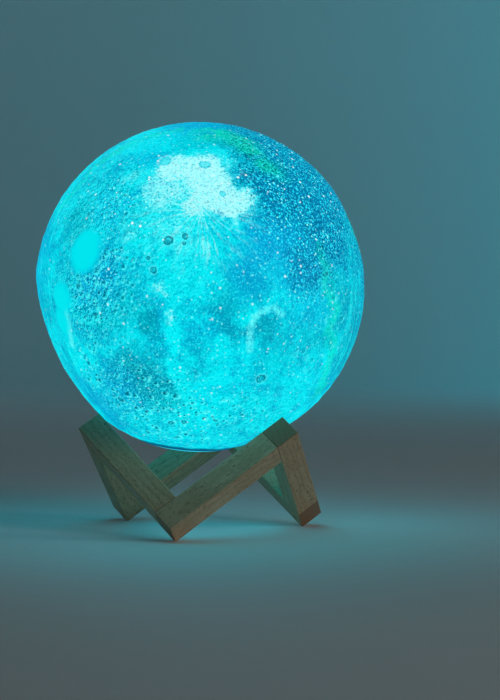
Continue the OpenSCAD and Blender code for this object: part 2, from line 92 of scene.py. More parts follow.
sweep_pale, _, shader = finish_named("Studio sweep, matt pale paint")
shader.inputs["Base Color"].default_value = paint("#f2f4f4")
shader.inputs["Roughness"].default_value = 0.85
nothing_selected()
bpy.ops.mesh.primitive_circle_add(vertices=128, radius=SWEEP_FLAT, fill_type="NGON")
sweep = bpy.context.object
sweep.name = "studio_sweep"
bpy.ops.object.mode_set(mode="EDIT")
bpy.ops.mesh.select_all(action="SELECT")
reach, rise = SWEEP_FLAT, 0.0
for step in range(1, BEND_STEPS + 2):
    turn = math.radians(90 / BEND_STEPS * min(step, BEND_STEPS))
    on_wall = step > BEND_STEPS
    further = SWEEP_FLAT + SWEEP_BEND * math.sin(turn) + (0.001 if on_wall else 0)
    higher = SWEEP_BEND * (1 - math.cos(turn)) + (SWEEP_WALL if on_wall else 0)
    bpy.ops.mesh.extrude_edges_move()
    bpy.ops.transform.resize(value=(further / reach, further / reach, 1), center_override=(0, 0, 0))
    bpy.ops.transform.translate(value=(0, 0, higher - rise))
    reach, rise = further, higher
bpy.ops.object.mode_set(mode="OBJECT")
sweep.data.materials.append(sweep_pale)
sweep.data.shade_smooth()

bpy.context.scene.view_settings.view_transform = "Standard"
air = bpy.data.worlds.new("studio_air")
air.use_nodes = True
air.node_tree.nodes["Background"].inputs["Color"].default_value = paint("#dfe6ea")
air.node_tree.nodes["Background"].inputs["Strength"].default_value = 0.004
bpy.context.scene.world = air
# Soft square lights: from the right and front, low from the right, from behind, and on the wall
for name, spot, towards, power, wide, tint in (
    ("key_soft", (0.99, -0.83, 0.58), (0, 0, 0.08), 1.45, 0.5, "#fffdfa"),
    ("side_low", (1.36, -0.24, 0.3), (0, 0, 0.6), 1.6, 0.25, "#fffdfa"),
    ("back_soft", (-0.6, 1.2, 1.1), (0, 0, 0.08), 0.5, 0.6, "#f4f7ff"),
    ("wall_spill", (1.0, 1.2, 0.35), (0.25, 1.95, 0.15), 3.3, 0.5, "#00c8e4"),
):
    lamp_data = bpy.data.lights.new(name, "AREA")
    lamp_data.shape, lamp_data.size = "SQUARE", wide
    lamp_data.energy, lamp_data.color = power, paint(tint)[:3]
    lamp = bpy.data.objects.new(name, lamp_data)
    lamp.location = spot
    lamp.rotation_mode = "QUATERNION"
    lamp.rotation_quaternion = (Vector(towards) - Vector(spot)).to_track_quat("-Z", "Y")
    lamp.visible_camera = False
    bpy.context.scene.collection.objects.link(lamp)


# The cradle's six rails: square beech, planed and oiled, butted at their ends and held by
# hidden dowels of the same wood. It shows faint rings, short dark flecks along the grain and
# darker, redder ends, with a soft sheen that the vessels break.
RING_MM = 2.6


def add(tree, kind, inputs=None, out=0, **settings):
    """Adds a node with its settings and links, and gives back one of its outputs."""
    node = tree.nodes.new("ShaderNode" + kind)
    for name, value in settings.items():
        setattr(node, name, value)
    for name, value in (inputs or {}).items():
        if isinstance(value, bpy.types.NodeSocket):
            tree.links.new(value, node.inputs[name])
        else:
            node.inputs[name].default_value = value
    return node.outputs[out]


def dressed(node_name, finish):
    """Gives a CAD node its finish."""
    frame["nodes"][node_name].data.materials.clear()
    frame["nodes"][node_name].data.materials.append(finish)


def beech_finish(name, along, side, shift, light, dark):
    """Beech whose grain runs along a direction, cut from its own place in the plank."""
    finish, tree, shader = finish_named(name)
    other = along.cross(side)
    turn = Matrix((along, side, other)).to_euler()
    place = add(tree, "TexCoord", out=3)
    plank = add(tree, "Mapping", {"Vector": place, "Rotation": turn, "Location": shift})
    mm = add(tree, "VectorMath", {0: plank, "Scale": 1000.0}, operation="SCALE")
    # Growth rings lie round a pith far outside the rail and waver along it
    waver_at = add(tree, "VectorMath", {0: mm, 1: (0.018, 0.05, 0.05)}, operation="MULTIPLY")
    waver = add(tree, "TexNoise", {"Vector": waver_at, "Scale": 1.0, "Detail": 3.0}, out=1)
    bent = add(tree, "VectorMath", {0: waver, 1: (16.0, 16.0, 16.0), 2: mm},
               operation="MULTIPLY_ADD")
    flat = add(tree, "VectorMath", {0: bent, 1: (0.0, 1.0, 1.0)}, operation="MULTIPLY")
    radius = add(tree, "VectorMath", {0: flat, 1: (0.0, 42.0, 25.0)}, out=1, operation="DISTANCE")
    ring = add(tree, "Math", {0: radius, 1: 2 * math.pi / RING_MM}, operation="MULTIPLY")
    ring = add(tree, "Math", {0: ring}, operation="SINE")
    ring = add(tree, "MapRange", {"Value": ring, "From Min": -0.2, "From Max": 1.0},
               interpolation_type="SMOOTHSTEP")
    # Rays show as short dark flecks, 2 to 4 mm long, a third of a millimetre wide
    fleck_at = add(tree, "VectorMath", {0: mm, 1: (0.42, 3.0, 3.0)}, operation="MULTIPLY")
    fleck = add(tree, "TexNoise", {"Vector": fleck_at, "Scale": 1.0, "Detail": 1.5,
                                   "Roughness": 0.4})
    fleck = add(tree, "MapRange", {"Value": fleck, "From Min": 0.6, "From Max": 0.7})
    # Vessels: fine lines along the grain, drawn at 0.5 mm so that they show
    vessel_at = add(tree, "VectorMath", {0: mm, 1: (0.05, 2.0, 2.0)}, operation="MULTIPLY")
    vessel = add(tree, "TexNoise", {"Vector": vessel_at, "Scale": 1.0, "Detail": 4.0,
                                    "Roughness": 0.7})
    # Patches some 30 mm wide carry the tone from pale to dark
    patchy = add(tree, "TexNoise", {"Vector": mm, "Scale": 0.035, "Detail": 3.0})
    patchy = add(tree, "Math", {0: patchy, 1: 0.45}, operation="MULTIPLY")
    tone = add(tree, "Math", {0: vessel, 1: 0.55, 2: patchy}, operation="MULTIPLY_ADD")
    tone = add(tree, "MapRange", {"Value": tone, "From Min": 0.33, "From Max": 0.67})
    colour = add(tree, "Mix", {0: tone, 6: paint(dark), 7: paint(light)}, out=2, data_type="RGBA")
    share = add(tree, "Math", {0: ring, 1: 0.3}, operation="MULTIPLY")
    colour = add(tree, "Mix", {0: share, 6: colour, 7: paint("#a87850")}, out=2, data_type="RGBA")
    share = add(tree, "Math", {0: fleck, 1: 0.8}, operation="MULTIPLY")
    colour = add(tree, "Mix", {0: share, 6: colour, 7: paint("#5e3821")}, out=2, data_type="RGBA")
    # End grain drinks the oil and goes darker and redder
    facing = add(tree, "VectorMath", {0: add(tree, "TexCoord", out=1), 1: along}, out=1,
                 operation="DOT_PRODUCT")
    facing = add(tree, "Math", {0: facing}, operation="ABSOLUTE")
    facing = add(tree, "MapRange", {"Value": facing, "From Min": 0.6, "From Max": 0.95})
    share = add(tree, "Math", {0: facing, 1: 0.7}, operation="MULTIPLY")
    colour = add(tree, "Mix", {0: share, 6: colour, 7: paint("#8a5637")}, out=2, data_type="RGBA")
    tree.links.new(colour, shader.inputs["Base Color"])
    rough = add(tree, "MapRange", {"Value": vessel, "From Min": 0.3, "From Max": 0.7,
                                   "To Min": 0.46, "To Max": 0.62})
    tree.links.new(rough, shader.inputs["Roughness"])
    height = add(tree, "Math", {0: vessel, 1: fleck}, operation="SUBTRACT")
    bump = add(tree, "Bump", {"Strength": 0.35, "Distance": 0.00015, "Height": height})
    tree.links.new(bump, shader.inputs["Normal"])
    return finish


def long_and_side(node_name):
    """The direction along a rail and that of one of its sides, from its own faces."""
    facings, widest = np.zeros((3, 3)), {}
    for face in frame["nodes"][node_name].data.polygons:
        n = np.array(face.normal)
        facings += face.area * np.outer(n, n)
        key = tuple(np.round(n, 2))
        widest[key] = widest.get(key, 0) + face.area
    along = np.linalg.eigh(facings)[1][:, 0]
    sides = [k for k in sorted(widest, key=widest.get, reverse=True) if abs(np.dot(k, along)) < 0.2]
    along, side = Vector(along), Vector(sides[0])
    return along, (side - along * side.dot(along)).normalized()


# Where in the plank each rail was cut, and its light and dark tone
rail_cuts = {
    "rail_front_right": ((0.02, 0.004, 0.006), "#ddb794", "#c69b76"),
    "rail_right": ((0.31, 0.013, -0.004), "#d9b18c", "#c2946d"),
    "rail_back_right": ((0.57, -0.007, 0.011), "#d6ae8a", "#be916b"),
    "rail_back_left": ((0.83, 0.009, 0.017), "#dcb490", "#c59872"),
    "rail_left": ((1.17, -0.012, -0.009), "#d8af8a", "#c0926c"),
    "rail_front_left": ((1.49, 0.006, -0.013), "#dbb38e", "#c3966f"),
}
for rail_name, (shift, light, dark) in rail_cuts.items():
    along, side = long_and_side(rail_name)
    finish = beech_finish("Beech, planed and oiled, " + rail_name, along, side, shift, light, dark)
    dressed(rail_name, finish)
dressed("joint_dowels", beech_finish("Beech dowel rod, raw", Vector((1, 0, 0)), Vector((0, 1, 0)),
                                     (2.1, 0, 0), "#dcb080", "#c89867"))


# The globe: printed in one piece from white PLA with the planet's relief in its skin, stained
# with a starry wash and lit from inside. The base cap is glued into its hole, where a thick
# collar stiffens the wall. Sizes are in metres, heights run up the base's axis from its pole.
SEAT_R, BORE_R, COLLAR_R = 0.02215, 0.02015, 0.02815
SEAT_TOP, WALL_START, COLLAR_TOP = 0.00493, 0.0077, 0.0125
GLUE_GAP = 0.00015
SKIN_RINGS, PRESS_REACH = 200, 0.012
# The inner wall starts as a smaller ball, open this many degrees round the base's axis
INNER_DEPTH, INNER_MOUTH = 0.006, 29
shell = frame["nodes"]["globe_shell"]
shell_low, shell_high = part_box("globe_shell")
globe_r = (shell_high.y - shell_low.y) / 2
globe_at = Vector(((shell_low.x + shell_high.x) / 2, (shell_low.y + shell_high.y) / 2,
                   shell_high.z - globe_r))
button_slide = next(joint for joint in frame["joints"] if joint["name"] == "button_press")
base_up = Vector(button_slide["axis"]).normalized()
cap_low, cap_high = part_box("base_cap")
hole_r = (cap_high.x - cap_low.x) / 2 + GLUE_GAP


def from_base(point):
    """How far round from the base's axis a point of the globe lies, in degrees."""
    return math.degrees(base_up.angle(globe_at - Vector(point)))


nothing_selected()
lean = base_up.to_track_quat("Z", "Y").to_euler()
bpy.ops.mesh.primitive_uv_sphere_add(segments=400, ring_count=SKIN_RINGS, radius=globe_r,
                                     location=globe_at, rotation=lean)
globe = bpy.context.object
globe.name = "globe_relief"
bpy.ops.object.transform_apply(location=True, rotation=True, scale=True)
# The cut goes half a ring's step inside the hole's edge, so the nearest ring stays as its rim
mouth = math.degrees(math.asin(hole_r / globe_r)) - 90 / SKIN_RINGS
bpy.ops.object.mode_set(mode="EDIT")
mesh = bmesh.from_edit_mesh(globe.data)
for vertex in mesh.verts:
    vertex.select_set(from_base(vertex.co) < mouth)
mesh.select_flush(False)
bmesh.update_edit_mesh(globe.data)
bpy.ops.mesh.delete(type="VERT")
# The rim turns in to the cap's seat, up through the collar, over it and down to the wall
bpy.ops.mesh.select_all(action="DESELECT")
bpy.ops.mesh.select_mode(type="VERT")
bpy.ops.mesh.select_non_manifold(use_wire=False, use_multi_face=False, use_non_contiguous=False,
                                 use_verts=False)
mesh = bmesh.from_edit_mesh(globe.data)
rim = [v.co.copy() for v in mesh.verts if v.select]
rim_centre = sum(rim, Vector()) / len(rim)
pole = globe_at - base_up * globe_r
reach, rise = (rim[0] - rim_centre).length, (rim_centre - pole).length
for number, (further, higher) in enumerate((
    (SEAT_R, rise), (SEAT_R, SEAT_TOP), (BORE_R, SEAT_TOP),
    (BORE_R, COLLAR_TOP), (COLLAR_R, COLLAR_TOP), (COLLAR_R, WALL_START),
)):
    if number:
        bpy.ops.mesh.extrude_edges_move()
    grow = further / reach
    bpy.ops.transform.resize(value=(grow, grow, grow), center_override=pole + base_up * rise)
    bpy.ops.transform.translate(value=base_up * (higher - rise))
    reach, rise = further, higher
bpy.ops.object.mode_set(mode="OBJECT")

# The inner wall: a smaller ball turned inside out, pressed outwards on to the shell's own wall
nothing_selected()
bpy.ops.mesh.primitive_uv_sphere_add(segments=400, ring_count=30, radius=globe_r - INNER_DEPTH,
                                     location=globe_at, rotation=lean)
wall = bpy.context.object
bpy.ops.object.transform_apply(location=True, rotation=True, scale=True)
bpy.ops.object.mode_set(mode="EDIT")
bpy.ops.mesh.select_all(action="SELECT")
bpy.ops.mesh.flip_normals()
mesh = bmesh.from_edit_mesh(wall.data)
for vertex in mesh.verts:
    vertex.select_set(from_base(vertex.co) < INNER_MOUTH)
mesh.select_flush(False)
bmesh.update_edit_mesh(wall.data)
bpy.ops.mesh.delete(type="VERT")
bpy.ops.object.mode_set(mode="OBJECT")


def laid_on_shell(piece, group, both_ways):
    """Presses a group of a piece's points on to the printed shell, along their normals."""
    press = piece.modifiers.new("press", "SHRINKWRAP")
    press.target, press.wrap_method, press.vertex_group = shell, "PROJECT", group
    press.use_negative_direction, press.use_positive_direction = True, both_ways
    press.project_limit = PRESS_REACH
    bpy.context.view_layer.objects.active = piece
    bpy.ops.object.modifier_apply(modifier=press.name)


inner = wall.vertex_groups.new(name="inner")
inner.add([v.index for v in wall.data.vertices], 1.0, "REPLACE")
laid_on_shell(wall, "inner", False)

# Only the ball itself is pressed, less and less within 4 degrees of the hole, its rim not at all
skin = globe.vertex_groups.new(name="skin")
for vertex in globe.data.vertices:
    deep = globe_r - (vertex.co - globe_at).length
    far = from_base(vertex.co) - mouth
    if deep < 0.0002 and far > 0.6:
        skin.add([vertex.index], min(1.0, far / 4), "REPLACE")
laid_on_shell(globe, "skin", True)

# The two are joined and the gap between the collar and the inner wall is bridged
nothing_selected()
wall.select_set(True)
globe.select_set(True)
bpy.context.view_layer.objects.active = globe
bpy.ops.object.join()
bpy.ops.object.mode_set(mode="EDIT")
bpy.ops.mesh.select_all(action="DESELECT")
bpy.ops.mesh.select_non_manifold(use_wire=False, use_multi_face=False, use_non_contiguous=False,
                                 use_verts=False)
bpy.ops.mesh.bridge_edge_loops()
bpy.ops.mesh.select_all(action="SELECT")
bpy.ops.mesh.normals_make_consistent(inside=False)
bpy.ops.object.mode_set(mode="OBJECT")
globe.vertex_groups.remove(globe.vertex_groups["inner"])


def direction(compass, height):
    """The direction at a compass angle from +X and a height angle, both in degrees."""
    c, h = math.radians(compass), math.radians(height)
    return Vector((math.cos(h) * math.cos(c), math.cos(h) * math.sin(c), math.sin(h)))


# The crust covers the outside, down to its deepest basin, but not the smooth floors of the lava
# lakes: compass and height angle, radius
DEEPEST_BASIN = 0.0045
lakes = ((-131.5, 11.3, 6.6), (-143, -4.5, 5.0), (-146, -12, 4.5), (96, 24, 8), (41, 8, 6))
crust_group = globe.vertex_groups.new(name="crust")
for vertex in globe.data.vertices:
    out = vertex.co - globe_at
    if out.length > globe_r - DEEPEST_BASIN and from_base(vertex.co) > mouth + 1:
        near = min(math.degrees(out.angle(direction(c, h))) - r for c, h, r in lakes)
        weight = min(max(near / 1.5, 0.0), 1.0) * min((from_base(vertex.co) - mouth) / 5, 1.0)
        if weight > 0:
            crust_group.add([vertex.index], weight, "REPLACE")

ease = globe.modifiers.new("ease", "SMOOTH")
ease.factor, ease.iterations, ease.vertex_group = 0.5, 2, "skin"
bpy.context.view_layer.objects.active = globe
bpy.ops.object.modifier_apply(modifier=ease.name)

# Three crusts, each with the size of its grains and how deep it is laid into the skin
for kind, grains, depth in (
    ("CLOUDS", 0.0028, 0.00032), ("VORONOI", 0.0042, 0.00045), ("CLOUDS", 0.012, 0.0004),
):
    pattern = bpy.data.textures.new("crust_" + kind.lower(), kind)
    pattern.noise_scale = grains
    if kind == "CLOUDS":
        pattern.noise_depth = 3
    heave = globe.modifiers.new("heave", "DISPLACE")
    heave.texture, heave.texture_coords, heave.vertex_group = pattern, "LOCAL", "crust"
    heave.strength, heave.mid_level = depth, 1.0
    bpy.context.view_layer.objects.active = globe
    bpy.ops.object.modifier_apply(modifier=heave.name)
globe.data.shade_smooth()
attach(globe, "lamp")
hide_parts("globe_shell")

# White PLA as it leaves the printer, washed with thin paints: matt, so the eye sees hardly any
# reflection, only the light from inside in the colours of the washes. The relief of the crust and
# the craterlets, and the collar's shadow round the base, are painted light and shade in that same
# colour. Patterns are worked out in millimetres, and places on the globe are a compass and a
# height angle in degrees.
glow, tree, shader = finish_named("White PLA print with a starry wash, lit from inside")
place = add(tree, "TexCoord", out=3)
mm = add(tree, "VectorMath", {0: place, 1: globe_at}, operation="SUBTRACT")
mm = add(tree, "VectorMath", {0: mm, "Scale": 1000.0}, operation="SCALE")
ball = add(tree, "VectorMath", {0: mm}, operation="NORMALIZE")
# Places shifted by a cloud of 14 mm give the washes their loose edges
drift = add(tree, "TexNoise", {"Vector": mm, "Scale": 0.07, "Detail": 4.0, "Roughness": 0.65},
            out=1)
drift = add(tree, "VectorMath", {0: drift, 1: (0.34, 0.34, 0.34), 2: ball},
            operation="MULTIPLY_ADD")
loose = add(tree, "VectorMath", {0: drift, 1: (0.17, 0.17, 0.17)}, operation="SUBTRACT")
loose = add(tree, "VectorMath", {0: loose}, operation="NORMALIZE")


def spread(spots, on):
    """A soft mask of round patches: compass and height angle, radius, softness, strength."""
    whole = None
    for compass, height, radius, soft, strength in spots:
        near = add(tree, "VectorMath", {0: on, 1: direction(compass, height)}, out=1,
                   operation="DOT_PRODUCT")
        one = add(tree, "MapRange", {0: near, 1: math.cos(math.radians(radius + soft)),
                                     2: math.cos(math.radians(max(radius - soft, 0))), 4: strength},
                  interpolation_type="SMOOTHSTEP")
        whole = one if whole is None else add(tree, "Math", {0: whole, 1: one}, operation="MAXIMUM")
    return whole


def trail(corners, on, half_width, soft):
    """A soft band along straight runs between corners, its half width and softness in degrees."""
    near = None
    for start, end in zip(corners, corners[1:]):
        start, end = direction(*start), direction(*end)
        run = end - start
        way = add(tree, "VectorMath", {0: on, 1: start}, operation="SUBTRACT")
        share = add(tree, "VectorMath", {0: way, 1: run / run.length_squared}, out=1,
                    operation="DOT_PRODUCT")
        share = add(tree, "Math", {0: share, 1: 0.0}, operation="MAXIMUM")
        share = add(tree, "Math", {0: share, 1: 1.0}, operation="MINIMUM")
        foot = add(tree, "VectorMath", {0: run, "Scale": share}, operation="SCALE")
        one = add(tree, "VectorMath", {0: way, 1: foot}, out=1, operation="DISTANCE")
        near = one if near is None else add(tree, "Math", {0: near, 1: one}, operation="MINIMUM")
    return add(tree, "MapRange", {0: near, 1: math.radians(half_width + soft),
                                  2: math.radians(half_width)}, interpolation_type="SMOOTHSTEP")


def wash_over(colour, wash, strength, *masks):
    """Lays a wash over the colour so far, where all of its masks meet."""
    share = add(tree, "Math", {0: masks[0], 1: strength}, operation="MULTIPLY")
    for mask in masks[1:]:
        share = add(tree, "Math", {0: share, 1: mask}, operation="MULTIPLY")
    return add(tree, "Mix", {0: share, 6: colour, 7: paint(wash)}, out=2, data_type="RGBA")


# Clouds of 33, 8, 2 and 1 mm give the wash its tone, its dapple and its grit
broad, middle, fine, grit = (
    add(tree, "TexNoise", {"Vector": mm, "Scale": scale, "Detail": detail, "Roughness": rough})
    for scale, detail, rough in ((0.03, 5.0, 0.65), (0.13, 5.0, 0.7), (0.55, 4.0, 0.75),
                                 (1.05, 1.5, 0.7)))
tone = add(tree, "Math", {0: broad, 1: middle}, operation="ADD")
tone = add(tree, "Math", {0: tone, 1: fine}, operation="ADD")
tone, patchy, dappled, dusty, thin, bright_grit, dark_grit = (
    add(tree, "MapRange", {0: cloud, 1: low, 2: high}, interpolation_type="SMOOTHSTEP")
    for cloud, low, high in ((tone, 1.25, 1.65), (middle, 0.25, 0.55), (middle, 0.3, 0.5),
                             (fine, 0.32, 0.5), (middle, 0.35, 0.6), (grit, 0.55, 0.66),
                             (grit, 0.46, 0.36)))
colour = add(tree, "Mix", {0: tone, 6: paint("#00acd0"), 7: paint("#00e4f2")}, out=2,
             data_type="RGBA")

# Dark seas, blue side, bright ground and its columns, the night side and the green bands. Each
# patch has its place, its radius, its softness and its strength.
seas = spread(((-106.8, -14.5, 3.2, 2, 0.6), (-81, -6, 4, 4, 0.5), (-78.6, -13.5, 3.5, 3.5, 0.55),
               (-111.5, -31.5, 9, 6, 0.8), (-103, -39, 6, 5, 0.6), (-66.5, -13.2, 4.2, 3, 0.6),
               (-119, -6, 8, 6, 0.35), (-139, 21, 6, 5, 0.45), (-110, 24, 5, 4, 0.4),
               (-60, -22, 8, 6, 0.35), (-90, -26, 5, 5, 0.3), (-123, 3, 5, 4, 0.45),
               (-75, 2, 5, 5, 0.4), (-86, 57, 8, 5, 0.3), (-42, -15, 7, 6, 0.45),
               (-30, -5, 8, 6, 0.5), (-15, -20, 9, 7, 0.5), (60, -5, 16, 8, 0.75),
               (118, 14, 12, 7, 0.8), (20, 40, 10, 7, 0.6), (165, -18, 13, 7, 0.8), (82, -34, 9, 6, 0.6),
               (104, -6, 6, 3, 0.6), (135, -38, 12, 7, 0.6)), loose)
colour = wash_over(colour, "#008ca6", 1.0, seas)
small_sea = spread(((-107.2, -8.6, 4.4, 0.7, 0.35), (-107.6, -13.2, 2.0, 0.9, 0.35)), ball)
colour = wash_over(colour, "#0090a4", 1.0, small_sea)
blue = spread(((-62, 17, 9, 7, 0.85), (-69, 11, 5, 5, 0.7), (-53, 12, 12, 8, 0.7),
               (-74, 4, 5, 5, 0.6), (-125, 2, 8, 6, 0.8), (-122, 30, 7, 6, 0.5),
               (-147, -41, 9, 9, 0.6), (-88, 78, 12, 8, 0.7), (-48, -3, 7, 6, 0.45), (-126, -38, 8, 7, 0.5),
               (-116, 45, 6, 6, 0.4), (85, -30, 18, 12, 0.8), (-175, 10, 14, 10, 0.6),
               (30, 10, 12, 8, 0.5)), loose)
colour = wash_over(colour, "#009ad4", 1.0, blue)
bright = spread(((-86, 37, 14, 8, 0.9), (-99, 17, 12, 9, 0.9), (-108, 32, 8, 7, 0.7),
                 (-96, 3, 9, 7, 0.8), (-45, -8, 6, 6, 0.15), (-62, -30, 9, 8, 0.4),
                 (-50, -30, 9, 8, 0.35), (-40, -48, 10, 8, 0.5), (-85, -50, 14, 9, 0.4),
                 (-70, -42, 10, 8, 0.4), (-143, -25, 7, 7, 0.7), (-119, 38, 5, 4, 0.6),
                 (-73, -10, 3, 3, 0.6), (100, 50, 14, 9, 0.9), (40, -40, 12, 8, 0.9),
                 (148, 2, 12, 8, 1.0), (88, 12, 9, 7, 0.9), (112, -26, 9, 6, 0.9),
                 (170, 40, 12, 8, 0.8)), loose)
colour = wash_over(colour, "#00f4fb", 1.0, bright, patchy)
for corners, half_width, strength in (
    (((-97, -13), (-96, -30), (-93, -50)), 1.5, 0.85),
    (((-84, -20), (-82, -50)), 1.0, 0.65),
):
    colour = wash_over(colour, "#00f4fb", strength, trail(corners, loose, half_width, 4.5), patchy)
night = spread(((-54, 37, 14, 7, 1.0), (-36, 22, 14, 8, 1.0), (-52, 54, 12, 6, 0.95),
                (-20, 40, 18, 10, 1.0), (-8, 12, 12, 10, 0.8), (-20, 65, 12, 9, 0.9),
                (-48, 8, 8, 7, 0.8), (-66, 27, 5, 4, 0.5), (-10, -8, 8, 8, 0.4),
                (0, 50, 18, 12, 1.0), (140, 45, 20, 12, 0.85)), loose)
colour = wash_over(colour, "#0084b6", 1.0, night)
for corners, half_width, soft, strength, wash in (
    (((-82, 66), (-74, 65), (-66, 60), (-59, 52), (-57, 44)), 0.5, 9.0, 0.6, "#0ce0a4"),
    (((-156, 30), (-151, 45), (-144, 56), (-128, 64), (-110, 69)), 0.3, 4.0, 0.45, "#10e4c0"),
    (((-42, 12), (-39, -4), (-35, -16), (-29.6, -29), (-23, -40)), 0.3, 4.5, 0.45, "#08e4b8"),
):
    colour = wash_over(colour, wash, strength, trail(corners, loose, half_width, soft), dappled)
far_green = spread(((66, 34, 6, 5, 0.7), (70, 30, 9, 8, 0.5), (110, -20, 8, 8, 0.4),
                    (-5, 20, 6, 6, 0.35)), loose)
colour = wash_over(colour, "#06dca4", 1.0, far_green)

# Streaks run down the left and right edges, along the globe's own meridians
eastward, northward = (add(tree, "VectorMath", {0: ball, 1: way}, out=1, operation="DOT_PRODUCT")
                       for way in ((0, 1, 0), (1, 0, 0)))
compass_turn = add(tree, "Math", {0: eastward, 1: northward}, operation="ARCTAN2")
upright = add(tree, "VectorMath", {0: ball, 1: (0, 0, 1)}, out=1, operation="DOT_PRODUCT")
streaks = add(tree, "CombineXYZ", {0: compass_turn, 1: upright})
streaks = add(tree, "VectorMath", {0: streaks, 1: (26.0, 3.5, 1.0)}, operation="MULTIPLY")
streaks = add(tree, "TexNoise", {"Vector": streaks, "Scale": 1.0, "Detail": 3.0})
dark_streak, bright_streak = (
    add(tree, "MapRange", {0: streaks, 1: low, 2: high}, interpolation_type="SMOOTHSTEP")
    for low, high in ((0.55, 0.4), (0.52, 0.62)))
edge = spread(((-160, -5, 10, 8, 0.5), (-157, -30, 10, 8, 0.45), (-158, 25, 9, 8, 0.4),
               (160, 0, 10, 8, 0.3), (-16, -5, 9, 7, 0.5), (-14, -22, 9, 7, 0.45),
               (-18, 14, 7, 6, 0.4)), ball)
colour = wash_over(colour, "#0088a4", 0.7, dark_streak, edge)
colour = wash_over(colour, "#18f8fc", 1.0, bright_streak, edge)

# The whitest highlands, a curved ridge, a bright streak and the rays of two young craters
highlands = spread(((-86.5, 39, 9, 4, 1.0), (-79, 30, 6.5, 2.5, 1.0), (-100, 43, 4, 5, 1.0),
                    (-90, 29, 5, 4, 1.0), (-103, 33, 5, 5, 0.7), (-99, 19, 5, 5, 0.45),
                    (-94, 13, 3, 4, 0.35), (-118, 38, 2, 3, 0.5), (-101.8, -2.8, 1.2, 2, 0.65),
                    (-98.6, -10.8, 0.5, 1.4, 0.6), (-114, 17, 2, 2.5, 0.5), (100, 52, 9, 6, 0.9),
                    (40, -40, 6, 6, 0.7), (150, 5, 7, 6, 0.8), (90, 14, 4, 4, 0.6)), loose)
stippled = add(tree, "Math", {0: grit, 1: 1.3, 2: highlands}, operation="MULTIPLY_ADD")
stippled = add(tree, "Math", {0: fine, 1: 0.9, 2: stippled}, operation="MULTIPLY_ADD")
stippled = add(tree, "MapRange", {0: stippled, 1: 1.5, 2: 2.15}, interpolation_type="SMOOTHSTEP")
colour = wash_over(colour, "#48f4fc", 0.75, highlands, dappled)
colour = wash_over(colour, "#b4ffff", 0.9, stippled)
ridge = trail(((-60.5, -9.0), (-63.5, -6.8), (-67.8, -7.7), (-70.6, -10.2), (-71.6, -14),
               (-71, -21)), ball, 0.0, 1.8)
colour = wash_over(colour, "#68feff", 0.65, ridge, dusty)
left_streak = trail(((-141.2, -6), (-141.6, -13), (-144.5, -21)), ball, 0.2, 2.0)
colour = wash_over(colour, "#60ffff", 0.7, left_streak)


def rays(compass, height, reach):
    """Bright streaks thrown out round a young crater, up to a reach in millimetres."""
    centre = direction(compass, height)
    east = Vector((0, 0, 1)).cross(centre).normalized()
    along = add(tree, "VectorMath", {0: ball, 1: east}, out=1, operation="DOT_PRODUCT")
    upward = add(tree, "VectorMath", {0: ball, 1: centre.cross(east)}, out=1,
                 operation="DOT_PRODUCT")
    turn = add(tree, "Math", {0: along, 1: upward}, operation="ARCTAN2")
    away = add(tree, "VectorMath", {0: ball, 1: centre}, out=1, operation="DISTANCE")
    fan = add(tree, "CombineXYZ", {0: turn, 1: away})
    fan = add(tree, "VectorMath", {0: fan, 1: (8.0, 6.0, 1.0)}, operation="MULTIPLY")
    streak = add(tree, "TexNoise", {"Vector": fan, "Scale": 1.0, "Detail": 3.0, "Roughness": 0.65})
    streak = add(tree, "MapRange", {0: streak, 1: 0.5, 2: 0.64}, interpolation_type="SMOOTHSTEP")
    fading = add(tree, "MapRange", {0: away, 1: reach / 1000 / globe_r, 2: 0.03},
                 interpolation_type="SMOOTHSTEP")
    return add(tree, "Math", {0: streak, 1: fading}, operation="MULTIPLY")


colour = wash_over(colour, "#b8ffff", 0.9, rays(-88.6, 26.1, 34), thin)
colour = wash_over(colour, "#b8ffff", 0.9, rays(30, 20, 30), thin)


def craterlets(across, share):
    """A share of small pits, one in each cell of a size in millimetres: painted highlights on the lit side
    of their rims, painted shade inside them on the far side.
    """
    cells = add(tree, "TexVoronoi", {"Vector": mm, "Scale": 1 / across})
    chance = add(tree, "SeparateXYZ", {0: cells.node.outputs["Color"]})
    size = add(tree, "MapRange", {0: chance, 1: 1 - share, 3: 0.02, 4: 0.42})
    ratio = add(tree, "Math", {0: cells, 1: size}, operation="DIVIDE")
    off = add(tree, "VectorMath", {0: mm, 1: cells.node.outputs["Position"]}, operation="SUBTRACT")
    off = add(tree, "VectorMath", {0: off}, operation="NORMALIZE")
    lit = add(tree, "VectorMath", {0: off, 1: (0.75, 0.0, -0.66)}, out=1, operation="DOT_PRODUCT")
    ring_in, ring_out, lit_side, inside, shade_side = (
        add(tree, "MapRange", {0: value, 1: low, 2: high}, interpolation_type="SMOOTHSTEP")
        for value, low, high in ((ratio, 0.5, 0.9), (ratio, 1.5, 1.05), (lit, -0.7, 0.5),
                                 (ratio, 1.15, 0.6), (lit, 0.7, -0.6)))
    return (ring_in, ring_out, lit_side), (inside, shade_side)


def crust(at):
    """Grains of a good millimetre on lumps of 4 mm."""
    grain = add(tree, "TexNoise", {"Vector": at, "Scale": 0.75, "Detail": 2.0, "Roughness": 0.7})
    lumps = add(tree, "TexNoise", {"Vector": at, "Scale": 0.25, "Detail": 2.0})
    return add(tree, "Math", {0: lumps, 1: 1.4, 2: grain}, operation="MULTIPLY_ADD")
